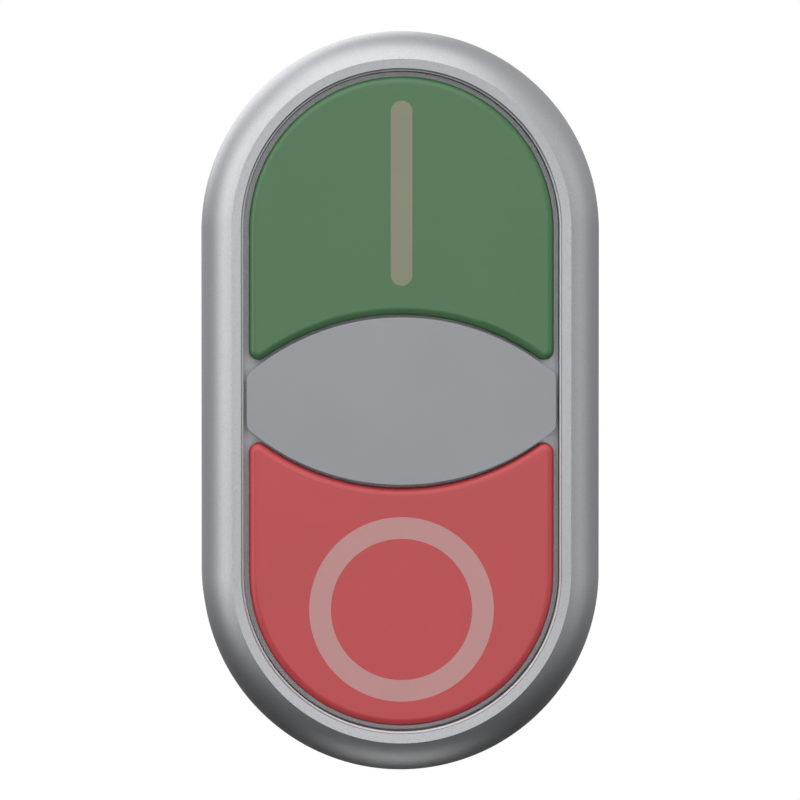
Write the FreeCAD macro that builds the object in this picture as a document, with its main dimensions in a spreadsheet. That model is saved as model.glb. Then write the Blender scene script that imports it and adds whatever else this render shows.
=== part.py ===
"""Double pushbutton with indicator light for a 22.5 mm panel hole, with its fixing adapter, two
contact blocks and a lamp block.

Millimetres. X points right, Z up and Y into the panel, so the buttons face -Y. The origin is the
centre of the panel hole on the panel's front face. Every depth below is a Y value: negative in
front of the panel, positive behind it.
"""
import FreeCAD, Part
import math
import os
import re

import Sketcher
from FreeCAD import Placement, Rotation, Vector

doc = FreeCAD.newDocument("double_pushbutton")
sheet = doc.addObject("Spreadsheet::Sheet", "sizes")

# ---------------------------------------------------------------- driving sizes
SIZES = {
    "front": {
        "bezel_width": 29.7,  # also the diameter of the bezel's round ends
        "end_centres": 25.2,  # between the centres of the two round ends
        "bezel_crest": -11.0,
        "bezel_shoulder": -8.1,
        "bezel_draft": 0.25,
        "bezel_dome": 2.45,  # how far in from the side the rounded part runs
        "bezel_land": 0.85,  # the flat inner land
        "bezel_wall": 1.4,
        "land_thick": 2.1,  # the lip under the land
        "bezel_ledge": "=bezel_crest + land_thick",  # underside of the land
        "ledge_chamfer": 0.9,
        "button_gap": 0.4,  # all round, between the buttons and the bezel
        "button_face": -10.9,
        "button_wall": 1.2,
        "button_roof": 1.6,
        "skirt_rear": -6.9,
        "edge_round": 0.55,
        "corner_round": 0.7,
        "lens_end_gap": 0.25,  # between the lens's ends and the bezel
        "lens_half_width": "=bezel_width / 2 - bezel_dome - bezel_land - lens_end_gap",
        "lens_half_height": 6.15,
        "lens_end_half": 1.93,  # half the height of its upright ends
        "lens_rise": "=lens_half_height - lens_end_half",
        "lens_arc": "=(lens_half_width^2 + lens_rise^2) / (2 * lens_rise)",
        "lens_gap": 0.2,
        "lens_crest": -11.1,
        "lens_rear": -9.4,
        "lens_crown": 220.0,  # radius of its slightly domed front
        "symbol_offset": 2.6,  # outwards from the centre of a round end
        "symbol_height": "=end_centres / 2 + symbol_offset",  # a symbol's centre from the middle
        "symbol_size": 13.5,
        "symbol_stroke": 1.58,
        "symbol_depth": 0.6,
    },
    "head": {
        "gasket_thick": 1.1,
        "gasket_inset": 0.5,  # how far the gasket stays inside the bezel
        "gasket_radius": "=bezel_width / 2 - gasket_inset",
        "gasket_fit": 0.05,
        "gasket_bore": "=root_radius + gasket_fit",
        "root_step": 0.4,
        "root_radius": "=shank_radius + root_step",
        "floor_front": -2.3,
        "ledge_gap": 0.1,
        "collar_front": "=bezel_ledge + ledge_gap",
        "collar_gap": 0.2,  # between the buttons' skirts and the collar
        "collar_fit": 0.1,  # between the collar and the bezel's wall
        "notch_rear": -6.0,
        "lug_front": -4.1,
        "lug_rear": -2.7,
        "lug_height": 0.4,
        "shank_radius": 11.15,
        "panel_max": 6.0,  # the thickest panel, and the shank's full diameter
        "tail_step": 0.2,
        "tail_radius": "=shank_radius - tail_step",
        "shank_wall": 1.55,
        "shank_rear": 12.6,
        "core_rear": 7.0,
        "recess_radius": "=tail_radius - shank_wall",
        "groove_front": 9.4,
        "groove_width": 1.7,
        "groove_depth": 0.65,
        "groove_radius": "=tail_radius - groove_depth",
        "stem_wall": 0.2,  # left between a stem and the recess
        "stem_x": "=recess_radius - stem_radius - stem_wall",
        "stem_radius": 1.9,
        "stem_fit": 0.06,
        "stem_rear": 9.0,
        "seal_radius": 3.1,
        "seal_rear": -1.0,
        "seal_fit": 0.03,
        "shaft_step": 0.6,
        "shaft_radius": "=tube_bore - shaft_step",
        "spigot_fit": 0.04,
        "spigot_radius": "=tube_bore - spigot_fit",
        "spigot_front": -4.0,
        "tube_gap": 0.8,  # between the lens's tube and the stems
        "tube_radius": "=stem_x - stem_radius - tube_gap",
        "tube_wall": 0.9,
        "tube_bore": "=tube_radius - tube_wall",
        "leg_thick": 1.5,
        "leg_inner": "=leg_outer - leg_thick",
        "leg_gap": 0.15,  # between the lens's legs and the collar
        "leg_outer": "=bezel_width / 2 - bezel_dome - bezel_land - button_gap + collar_gap - leg_gap",
        "leg_half": 1.6,
        "well_wall": 1.65,
        "well_z": "=shank_radius - well_radius - well_wall",
        "well_radius": 2.3,
        "well_rear": 6.0,
        "core_hole_radius": 1.7,
        "core_hole_wall": 0.7,
        "core_hole_at": "=(recess_radius - core_hole_radius - core_hole_wall) / sqrt(2)",
        "carrier_thick": 1.4,
        "carrier_fit": 0.1,
        "arm_thick": 1.8,
        "arm_half": 1.9,
        "coil_wire": 0.22,  # radius of the wire
        "coil_radius": 1.7,  # to the middle of the wire
    },
    "adapter": {
        "adapter_front": 6.6,
        "adapter_rear": 13.6,
        "adapter_half_width": "=1.5 * slot_pitch - block_gap",
        "adapter_half_height": 23.4,
        "adapter_fit": 0.2,
        "adapter_bore": "=tail_radius + adapter_fit",
        "adapter_corner": 10.5,
        "block_fit": 0.2,  # between a block's neck and the rails
        "rail_inner": "=block_neck + block_fit",
        "rail_thick": 1.6,
        "rail_inset": 1.2,  # from the adapter's side to a rail's end
        "rail_half": "=adapter_half_width - rail_inset",
        "rail_outer": "=rail_inner + rail_thick",
        "rail_length": 7.0,
        "rail_rear": "=adapter_rear + rail_length",
        "lip_depth": 4.4,
        "lip_front": "=adapter_rear + lip_depth",
        "lip_thick": 1.0,
        "lip_rear": "=lip_front + lip_thick",
        "lip_bite": 0.5,
        "lip_inner": "=block_neck - lip_bite",
        "latch_half": 5.8,
        "latch_travel": 1.2,
        "latch_inset": 0.5,
        "latch_top": "=adapter_half_height - latch_inset",
        "latch_fit": 0.1,
        "latch_bite": 0.1,  # left between the shut latch and the groove's floor
        "tab_half": 4.0,
        "tab_gap": 0.2,
        "tab_low": "=adapter_half_height + latch_travel + tab_gap",
        "tab_thick": 1.4,
        "tab_high": "=tab_low + tab_thick",
        "clamp_side": 6.1,  # from the adapter's side to a clamp screw
        "clamp_x": "=adapter_half_width - clamp_side",
        "clamp_end": 4.1,  # from the adapter's end to a clamp screw
        "clamp_z": "=adapter_half_height - clamp_end",
        "clamp_travel": 4.0,
        "clamp_screw": 1.5,
        "clamp_head": 2.1,
        "clamp_seat": 11.0,
        "foot_front": 6.2,
        "foot_rear": 7.4,
        "foot_radius": 2.3,
    },
    "block": {
        "slot_pitch": 10.0,  # from one block's middle to the next
        "block_gap": 0.1,  # half the gap between two blocks
        "block_half": "=slot_pitch / 2 - block_gap",
        "block_neck": 14.6,
        "block_tower_step": 0.8,
        "block_tower": "=rail_outer + block_tower_step",
        "block_middle": 10.0,
        "block_step_depth": 3.0,
        "block_step": "=block_rear - block_step_depth",
        "block_depth": 32.0,
        "block_rear": "=adapter_rear + block_depth",
        "cover_thick": 1.5,
        "side_wall": 1.0,
        "peg_radius": 0.55,
        "front_wall": 1.6,
        "chamber_front": "=adapter_rear + front_wall",
        "chamber_depth": 18.4,
        "chamber_rear": "=chamber_front + chamber_depth",
        "chamber_half": 12.6,
        "works_x": 0.2,  # from the block's middle to the middle of its works
        "plunger_side": 0.8,  # between the plunger and the side walls
        "plunger_half_x": "=block_half - side_wall - plunger_side",
        "plunger_half_z": 3.4,
        "plunger_rest": 0.2,
        "plunger_front": "=chamber_front + plunger_rest",
        "plunger_length": 13.0,
        "plunger_rear": "=plunger_front + plunger_length",
        "window_head": 1.6,
        "window_front": "=plunger_front + window_head",
        "window_foot": 1.8,
        "window_rear": "=plunger_rear - window_foot",
        "window_half": 2.2,
        "nose_gap": 0.2,  # between a nose and the recess
        "nose_x": "=slot_pitch - works_x - recess_radius + nose_radius + nose_gap",
        "nose_radius": 1.2,
        "bridge_half_x": 2.0,
        "bridge_half_z": 9.2,
        "bridge_thick": 0.8,
        "closed_rest": 2.3,
        "closed_front": "=window_front + closed_rest",  # front of the break contact's bridge
        "tip_radius": 1.15,
        "tip_thick": 0.4,
        "tip_z": 7.9,
        "open_gap": 2.3,  # between the make contact's tips
        "strip_thick": 1.0,
        "strip_low": 6.6,
        "strip_z": 10.8,
        "pocket_depth": 4.0,  # in front of the terminal plates
        "pocket_front": "=plate_front - pocket_depth",
        "pocket_wall": 1.6,
        "pocket_rear": "=block_step - pocket_wall",
        "pocket_inner": 10.6,
        "end_wall": 1.3,
        "pocket_outer": "=block_tower - end_wall",
        "saddle_lift": 3.4,  # from a plate to its raised saddle
        "plate_front": "=saddle_front - saddle_lift",
        "terminal_z": 13.6,
        "terminal_screw": 1.5,
        "terminal_head": 2.5,
        "tip_reach": 1.8,
        "terminal_tip": "=plate_front - tip_reach",
        "thread_fit": 0.06,
        "head_recess": 0.2,
        "saddle_front": "=block_step - head_recess - head_thick - saddle_thick",
        "saddle_thick": 1.0,
        "saddle_half_x": 2.75,
        "saddle_half_z": 2.1,
        "head_thick": 2.0,
        "driver_hole": 2.7,
        "return_well": 2.2,
        "return_wall": 5.6,
        "return_rear": "=block_rear - return_wall",
        "board_gap": 0.6,
        "board_front": "=chamber_front + board_gap",
        "board_rear": "=chamber_rear - board_gap",
        "board_x": 0.25,
        "board_thick": 1.6,
        "emitter_length": 8.6,
        "emitter_front": "=emitter_rear - emitter_length",
        "emitter_gap": 0.6,
        "emitter_radius": "=shaft_radius - emitter_gap",
        "lamp_post": 2.0,
        "emitter_rear": "=adapter_rear - lamp_post",
    },
}
ALIASES = []
for family, entries in SIZES.items():
    for alias, number in entries.items():
        ALIASES.append(alias)
        row = len(ALIASES)
        sheet.set(f"A{row}", family)
        sheet.set(f"B{row}", alias)
        sheet.set(f"C{row}", str(number))
        sheet.setAlias(f"C{row}", alias)
doc.recompute()

SUBPARTS = {}
AXIS_Y = Vector(0, 1, 0)
SCREW_TO_Y = Rotation(Vector(1, 0, 0), -90)  # carries a primitive's own Z onto +Y
EPSILON = 0.01


# ---------------------------------------------------------------- parametric helpers
def value(text):
    """The present value of an expression in the sheet's aliases."""
    return float(sheet.evalExpression(text))


def expression(text):
    """The same expression as another object of the document reads it."""
    words = re.sub(r"[a-z_]{2,}", lambda m: f"sizes.{m[0]}" if m[0] in ALIASES else m[0], text)
    return words


def bind(thing, **properties):
    """Binds properties of an object to expressions; a dot in a name is written as two underscores."""
    for name, text in properties.items():
        thing.setExpression(name.replace("__", "."), expression(text))
    return thing


def hold(sketch, constraint, text):
    """Adds a dimension to a sketch and binds it."""
    index = sketch.addConstraint(constraint)
    name = f"held_{index}"
    sketch.renameConstraint(index, name)
    sketch.setExpression(f"Constraints.{name}", expression(text))


def hold_point(sketch, geometry, point, x, y):
    """Holds a point of a sketch at two bound coordinates."""
    hold(sketch, Sketcher.Constraint("DistanceX", -1, 1, geometry, point, value(x)), x)
    hold(sketch, Sketcher.Constraint("DistanceY", -1, 1, geometry, point, value(y)), y)


def polygon(*corners):
    """A closed outline of straight edges; each corner is a pair of expressions."""

    def draw(sketch):
        points = [Vector(value(x), value(y), 0) for x, y in corners]
        count = len(points)
        first = sketch.GeometryCount
        for i in range(count):
            sketch.addGeometry(Part.LineSegment(points[i], points[(i + 1) % count]))
        for i in range(count):
            after = first + (i + 1) % count
            sketch.addConstraint(Sketcher.Constraint("Coincident", first + i, 2, after, 1))
        for i, (x, y) in enumerate(corners):
            hold_point(sketch, first + i, 1, x, y)

    return draw


def rectangle(x_low, x_high, y_low, y_high):
    return polygon((x_low, y_low), (x_high, y_low), (x_high, y_high), (x_low, y_high))


def circle(radius, x="0", y="0"):
    def draw(sketch):
        middle = Vector(value(x), value(y), 0)
        index = sketch.addGeometry(Part.Circle(middle, Vector(0, 0, 1), value(radius)))
        hold_point(sketch, index, 3, x, y)
        hold(sketch, Sketcher.Constraint("Radius", index, value(radius)), radius)

    return draw


def together(*outlines):
    """Several outlines in one sketch, such as a ring's two circles."""

    def draw(sketch):
        for outline in outlines:
            outline(sketch)

    return draw


def arc(sketch, middle, radius, start, end):
    return sketch.addGeometry(
        Part.ArcOfCircle(Part.Circle(middle, Vector(0, 0, 1), radius), start, end)
    )


def stadium(radius, low, high):
    """Two half circles joined by straight sides; low and high are their centres' heights."""

    def draw(sketch):
        r, below, above = value(radius), value(low), value(high)
        top = arc(sketch, Vector(0, above, 0), r, 0, math.pi)
        left = sketch.addGeometry(Part.LineSegment(Vector(-r, above, 0), Vector(-r, below, 0)))
        foot = arc(sketch, Vector(0, below, 0), r, math.pi, 2 * math.pi)
        right = sketch.addGeometry(Part.LineSegment(Vector(r, below, 0), Vector(r, above, 0)))
        for a, b in ((top, left), (left, foot), (foot, right), (right, top)):
            sketch.addConstraint(Sketcher.Constraint("Tangent", a, 2, b, 1))
        hold_point(sketch, top, 3, "0", high)
        hold_point(sketch, foot, 3, "0", low)
        hold(sketch, Sketcher.Constraint("Radius", top, r), radius)

    return draw


def button_outline(inset):
    """The upper button's outline, drawn in by inset: round above, hollowed for the lens below."""
    radius = f"bezel_width / 2 - bezel_dome - bezel_land - button_gap - ({inset})"
    hollow = f"lens_arc + lens_gap + ({inset})"

    def draw(sketch):
        r, above = value(radius), value("end_centres / 2")
        hollow_r, middle = value(hollow), value("lens_half_height - lens_arc")
        corner = middle + math.sqrt(hollow_r**2 - r**2)
        lean = math.asin(r / hollow_r)
        top = arc(sketch, Vector(0, above, 0), r, 0, math.pi)
        left = sketch.addGeometry(Part.LineSegment(Vector(-r, above, 0), Vector(-r, corner, 0)))
        low = arc(
            sketch, Vector(0, middle, 0), hollow_r, math.pi / 2 - lean, math.pi / 2 + lean
        )
        right = sketch.addGeometry(Part.LineSegment(Vector(r, corner, 0), Vector(r, above, 0)))
        sketch.addConstraint(Sketcher.Constraint("Tangent", top, 2, left, 1))
        sketch.addConstraint(Sketcher.Constraint("Tangent", right, 2, top, 1))
        sketch.addConstraint(Sketcher.Constraint("Coincident", left, 2, low, 2))
        sketch.addConstraint(Sketcher.Constraint("Coincident", low, 1, right, 1))
        sketch.addConstraint(Sketcher.Constraint("Vertical", left))
        sketch.addConstraint(Sketcher.Constraint("Vertical", right))
        hold_point(sketch, top, 3, "0", "end_centres / 2")
        hold(sketch, Sketcher.Constraint("Radius", top, r), radius)
        hold_point(sketch, low, 3, "0", "lens_half_height - lens_arc")
        hold(sketch, Sketcher.Constraint("Radius", low, hollow_r), hollow)

    return draw


def lens_outline(sketch):
    """Two shallow arcs, cut off by short upright ends."""
    r, half = value("lens_arc"), value("lens_half_width")
    middle = value("lens_half_height - lens_arc")
    corner = middle + math.sqrt(r**2 - half**2)
    lean = math.asin(half / r)
    top = arc(sketch, Vector(0, middle, 0), r, math.pi / 2 - lean, math.pi / 2 + lean)
    left = sketch.addGeometry(
        Part.LineSegment(Vector(-half, corner, 0), Vector(-half, -corner, 0))
    )
    low = arc(sketch, Vector(0, -middle, 0), r, 1.5 * math.pi - lean, 1.5 * math.pi + lean)
    right = sketch.addGeometry(
        Part.LineSegment(Vector(half, -corner, 0), Vector(half, corner, 0))
    )
    for a, b in ((top, left), (left, low), (low, right), (right, top)):
        sketch.addConstraint(Sketcher.Constraint("Coincident", a, 2, b, 1))
    sketch.addConstraint(Sketcher.Constraint("Vertical", left))
    sketch.addConstraint(Sketcher.Constraint("Vertical", right))
    hold_point(sketch, top, 3, "0", "lens_half_height - lens_arc")
    hold_point(sketch, low, 3, "0", "lens_arc - lens_half_height")
    hold(sketch, Sketcher.Constraint("Radius", top, r), "lens_arc")
    hold(sketch, Sketcher.Constraint("Radius", low, r), "lens_arc")
    hold(sketch, Sketcher.Constraint("DistanceX", -1, 1, right, 1, half), "lens_half_width")
    hold(sketch, Sketcher.Constraint("DistanceX", -1, 1, left, 1, -half), "-lens_half_width")


def body(name):
    return doc.addObject("PartDesign::Body", name)


def sketch_on(piece, name, plane, offset, outline):
    """A sketch on one of the piece's own planes, moved along the plane's normal."""
    support = [f for f in piece.Origin.OriginFeatures if f.Role == plane][0]
    sketch = piece.newObject("Sketcher::SketchObject", f"{name}_sketch")
    sketch.AttachmentSupport = [(support, "")]
    sketch.MapMode = "FlatFace"
    bind(sketch, AttachmentOffset__Base__z=offset)
    outline(sketch)
    return sketch


def pad(piece, name, outline, low, high, plane="XZ_Plane"):
    """Adds material between low and high. The XZ plane's normal is -Y, the others' is their axis."""
    offset = f"-({high})" if plane == "XZ_Plane" else low
    feature = piece.newObject("PartDesign::Pad", name)
    feature.Profile = (sketch_on(piece, name, plane, offset, outline), [""])
    bind(feature, Length=f"({high}) - ({low})")
    return feature


def pocket(piece, name, outline, low, high, plane="XZ_Plane"):
    """Removes material between low and high, and checks that something went."""
    doc.recompute()
    before = piece.Shape.Volume
    offset = f"-({low})" if plane == "XZ_Plane" else high
    feature = piece.newObject("PartDesign::Pocket", name)
    feature.Profile = (sketch_on(piece, name, plane, offset, outline), [""])
    bind(feature, Length=f"({high}) - ({low})")
    doc.recompute()
    if not piece.Shape.Volume < before:
        raise ValueError(f"{name} removed nothing")
    return feature


def soften(piece, name, kind, size, keep):
    """Rounds or chamfers the edges for which keep(edge) is true."""
    doc.recompute()
    base = piece.Tip
    edges = [f"Edge{i + 1}" for i, edge in enumerate(base.Shape.Edges) if keep(edge)]
    feature = piece.newObject(f"PartDesign::{kind}", name)
    feature.Base = (base, edges)
    bind(feature, **{"Radius" if kind == "Fillet" else "Size": size})
    return feature


def along_y(edge):
    """True for a straight edge that runs front to rear."""
    ends = edge.Vertexes
    return len(ends) == 2 and abs(abs(ends[0].Y - ends[1].Y) - edge.Length) < EPSILON


def at_depth(depth):
    """A test for edges that lie at one depth."""
    y = value(depth)
    return lambda edge: all(
        abs(edge.valueAt(t).y - y) < EPSILON for t in (edge.FirstParameter, edge.LastParameter)
    )


def box(name, x, y, z):
    """A Part box between three pairs of bound faces."""
    made = doc.addObject("Part::Box", name)
    return bind(
        made,
        Length=f"({x[1]}) - ({x[0]})",
        Width=f"({y[1]}) - ({y[0]})",
        Height=f"({z[1]}) - ({z[0]})",
        Placement__Base__x=x[0],
        Placement__Base__y=y[0],
        Placement__Base__z=z[0],
    )


def rod(name, radius, y, x="0", z="0", front_radius=None):
    """A cylinder, or a cone with its own front radius, along Y."""
    made = doc.addObject("Part::Cone" if front_radius else "Part::Cylinder", name)
    made.Placement = Placement(Vector(), SCREW_TO_Y)
    if front_radius:
        bind(made, Radius1=front_radius, Radius2=radius)
    else:
        bind(made, Radius=radius)
    return bind(
        made,
        Height=f"({y[1]}) - ({y[0]})",
        Placement__Base__x=x,
        Placement__Base__y=y[0],
        Placement__Base__z=z,
    )


def fuse(name, *shapes):
    made = doc.addObject("Part::MultiFuse", name)
    made.Shapes = list(shapes)
    return made


def cut(name, base, *tools):
    made = doc.addObject("Part::Cut", name)
    made.Base = base
    made.Tool = tools[0] if len(tools) == 1 else fuse(f"{name}_tools", *tools)
    return made


def group(name, *shapes):
    """Identical separate solids that share one node."""
    made = doc.addObject("Part::Compound", name)
    made.Links = list(shapes)
    return made


def subpart(thing, label, turned=False):
    """Names a finished piece. A turned one is the same piece half a turn round the Y axis."""
    if turned:
        thing = group(f"{label}_turned", thing)
        thing.Placement = Placement(Vector(), Rotation(AXIS_Y, 180))
    thing.Label = label
    SUBPARTS[label] = thing
    return thing


def spring(name, coil, wire, turns, y, x="0", z="0"):
    """A round-wire coil spring along Y between two seats."""
    helix = doc.addObject("Part::Helix", f"{name}_helix")
    bind(
        helix,
        Radius=coil,
        Height=f"({y[1]}) - ({y[0]}) - 2 * ({wire})",
        Pitch=f"(({y[1]}) - ({y[0]}) - 2 * ({wire})) / {turns}",
    )
    helix.SegmentLength = 1  # a face for each turn
    section = doc.addObject("Part::Circle", f"{name}_section")
    section.Placement = Placement(Vector(), Rotation(Vector(1, 0, 0), 90))
    bind(section, Radius=wire, Placement__Base__x=coil)
    made = doc.addObject("Part::Sweep", name)
    made.Sections = [section]
    made.Spine = helix
    made.Solid = True
    made.Frenet = True
    made.Placement = Placement(Vector(), SCREW_TO_Y)
    return bind(
        made,
        Placement__Base__x=x,
        Placement__Base__y=f"({y[0]}) + ({wire})",
        Placement__Base__z=z,
    )


DOME_RADIUS = "bezel_dome * 1.56"


def bezel_section(sketch):
    """The bezel's section, with X outward from the end's centre and Y the depth."""
    side, crest = "bezel_width / 2", "bezel_crest"
    crease = "bezel_width / 2 - bezel_dome"
    lip = f"{crease} - bezel_land"
    inside = "bezel_width / 2 - bezel_wall"
    corners = [
        (side, "-gasket_thick"),
        (f"{side} - bezel_draft", "bezel_shoulder"),
        (crease, crest),
        (lip, f"{crest} + 0.12"),
        (lip, "bezel_ledge"),
        (f"{inside} - ledge_chamfer", "bezel_ledge"),
        (inside, "bezel_ledge + ledge_chamfer"),
        (inside, "-gasket_thick"),
    ]
    points = [Vector(value(x), value(y), 0) for x, y in corners]
    count = len(points)
    dome = 1  # the second edge is the rounded front, from the shoulder to the crease
    shoulder, top = points[dome], points[dome + 1]
    chord = top - shoulder
    radius = value(DOME_RADIUS)
    inward = Vector(chord.y, -chord.x, 0).normalize()
    middle = (shoulder + top) * 0.5 + inward * math.sqrt(radius**2 - (chord.Length / 2) ** 2)
    angles = [math.atan2(p.y - middle.y, p.x - middle.x) for p in (top, shoulder)]
    for i in range(count):
        if i == dome:
            arc(sketch, middle, radius, *angles)
        else:
            sketch.addGeometry(Part.LineSegment(points[i], points[(i + 1) % count]))
    for i in range(count):
        # the arc runs counterclockwise, so against the other edges' direction
        after = (i + 1) % count
        end = 1 if i == dome else 2
        start = 2 if after == dome else 1
        sketch.addConstraint(Sketcher.Constraint("Coincident", i, end, after, start))
    for i, (x, y) in enumerate(corners):
        hold_point(sketch, i, 2 if i == dome else 1, x, y)
    hold(sketch, Sketcher.Constraint("Radius", dome, radius), DOME_RADIUS)


def both(outline_of, *corners):
    """One outline above the middle and its mirror image below, in one sketch."""
    return together(outline_of(*corners), outline_of(*[(a, f"-({b})") for a, b in corners]))


def slot(low, high, z_low, z_high):
    """The four corners of a rectangle, for both()."""
    return (low, z_low), (high, z_low), (high, z_high), (low, z_high)


# ---------------------------------------------------------------- bezel
# Plated ring with round ends and a domed front, snapped over the head's collar.
END_LOW, END_HIGH = "-end_centres / 2", "end_centres / 2"
bezel = body("bezel_body")
bezel_side = pad(bezel, "bezel_side", bezel_section, END_LOW, END_HIGH, "XY_Plane")
bezel_end = bezel.newObject("PartDesign::Revolution", "bezel_end")
end_sketch = sketch_on(bezel, "bezel_end", "XY_Plane", END_HIGH, bezel_section)
bezel_end.Profile = (end_sketch, [""])
bezel_end.ReferenceAxis = (end_sketch, ["V_Axis"])
bezel_end.Angle = 180
bezel_end.Reversed = True
doc.recompute()
bezel_ring = bezel.newObject("PartDesign::PolarPattern", "bezel_ring")
bezel_ring.Originals = [bezel_side, bezel_end]
bezel_ring.Axis = ([f for f in bezel.Origin.OriginFeatures if f.Role == "Y_Axis"][0], [""])
bezel_ring.Angle = 360
bezel_ring.Occurrences = 2
bezel.Tip = bezel_ring
snap_reach = "bezel_width / 2 - bezel_wall + lug_height + 0.05"
pocket(
    bezel,
    "bezel_snaps",
    both(polygon, *slot("lug_front - 0.1", "lug_rear + 0.1", "3.9", "8.1")),
    f"-({snap_reach})",
    snap_reach,
    "YZ_Plane",
)
subpart(bezel, "bezel")

# ---------------------------------------------------------------- panel gasket
gasket = body("gasket_body")
pad(gasket, "gasket_pad", stadium("gasket_radius", END_LOW, END_HIGH), "-gasket_thick", "0")
pocket(gasket, "gasket_hole", circle("gasket_bore"), "-gasket_thick", "0")
subpart(gasket, "panel_gasket")

# ---------------------------------------------------------------- head body
# The collar that holds the bezel and guides the buttons, the floor under them and the shank that
# goes through the panel, with its bores for the stems, springs and light.
COLLAR = "bezel_width / 2 - bezel_wall - collar_fit"
BUTTON = "bezel_width / 2 - bezel_dome - bezel_land - button_gap"
head = body("head_body_body")
pad(head, "collar", stadium(COLLAR, END_LOW, END_HIGH), "collar_front", "-gasket_thick")
soften(head, "collar_lead", "Chamfer", "ledge_chamfer + 0.1", at_depth("collar_front"))
pad(
    head,
    "snap_lugs",
    both(polygon, *slot("lug_front", "lug_rear", "4", "8")),
    f"-({COLLAR} + lug_height)",
    f"{COLLAR} + lug_height",
    "YZ_Plane",
)
pocket(
    head,
    "collar_inside",
    stadium(f"{BUTTON} + collar_gap", END_LOW, END_HIGH),
    "collar_front",
    "floor_front",
)
pocket(
    head,
    "collar_notches",
    both(polygon, *slot("collar_front", "notch_rear", "12.8", "18")),
    "-bezel_width / 2",
    "bezel_width / 2",
    "YZ_Plane",
)
pad(head, "root", circle("root_radius"), "-gasket_thick", "0")
pad(head, "shank", circle("shank_radius"), "0", "panel_max")
pad(head, "tail", circle("tail_radius"), "panel_max", "shank_rear")
soften(head, "shank_lead", "Chamfer", "0.5", at_depth("shank_rear"))
pad(head, "spigot", circle("spigot_radius"), "spigot_front", "floor_front")
pocket(
    head,
    "lock_groove",
    together(circle("shank_radius + 1"), circle("groove_radius")),
    "groove_front",
    "groove_front + groove_width",
)
pocket(head, "rear_recess", circle("recess_radius"), "core_rear", "shank_rear")
pocket(head, "light_shaft", circle("shaft_radius"), "spigot_front", "core_rear")
for name, outline_radius, low, high in (
    ("seal_seat", "seal_radius", "floor_front", "seal_rear"),
    ("stem_bore", "stem_radius + stem_fit", "seal_rear", "core_rear"),
):
    stems = [circle(outline_radius, x) for x in ("-stem_x", "stem_x")]
    pocket(head, name, together(*stems), low, high)
wells = [circle("well_radius", "0", z) for z in ("-well_z", "well_z")]
pocket(head, "spring_wells", together(*wells), "floor_front", "well_rear")
core_holes = [
    circle("core_hole_radius", f"{a} * core_hole_at", f"{b} * core_hole_at")
    for a in (-1, 1)
    for b in (-1, 1)
]
pocket(head, "core_holes", together(*core_holes), "0.5", "core_rear")
subpart(head, "head_body")

# ---------------------------------------------------------------- stem seals
seals = []
for side in (-1, 1):
    ring = rod(f"seal_{len(seals)}", "seal_radius", ("floor_front", "seal_rear"), f"{side} * stem_x")
    hole = rod(
        f"seal_hole_{len(seals)}",
        "stem_radius + seal_fit",
        ("floor_front - 1", "seal_rear + 1"),
        f"{side} * stem_x",
    )
    seals.append(cut(f"seal_ring_{len(seals)}", ring, hole))
subpart(group("seals", *seals), "stem_seals")

# ---------------------------------------------------------------- lens
# Diffuser plate between the two buttons, with the light tube and two legs it stands on.
plate = body("lens_plate")
pad(plate, "lens_pad", lens_outline, "lens_crest", "lens_rear")
soften(plate, "lens_corners", "Fillet", "corner_round", along_y)
soften(plate, "lens_edge", "Fillet", "edge_round / 2", at_depth("lens_crest"))
pad(plate, "light_tube", circle("tube_radius"), "lens_rear", "floor_front")
legs = [
    rectangle(f"{side} * leg_inner", f"{side} * leg_outer", "-leg_half", "leg_half")
    for side in (-1, 1)
]
pad(plate, "lens_legs", together(*legs), "lens_rear", "floor_front")
pocket(plate, "light_tube_hole", circle("tube_bore"), "lens_rear", "floor_front")
crown = bind(
    doc.addObject("Part::Sphere", "lens_crown_ball"),
    Radius="lens_crown",
    Placement__Base__y="lens_crest + lens_crown",
)
crowned = doc.addObject("Part::MultiCommon", "lens_crowned")
crowned.Shapes = [plate, crown]
subpart(crowned, "lens")


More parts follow.
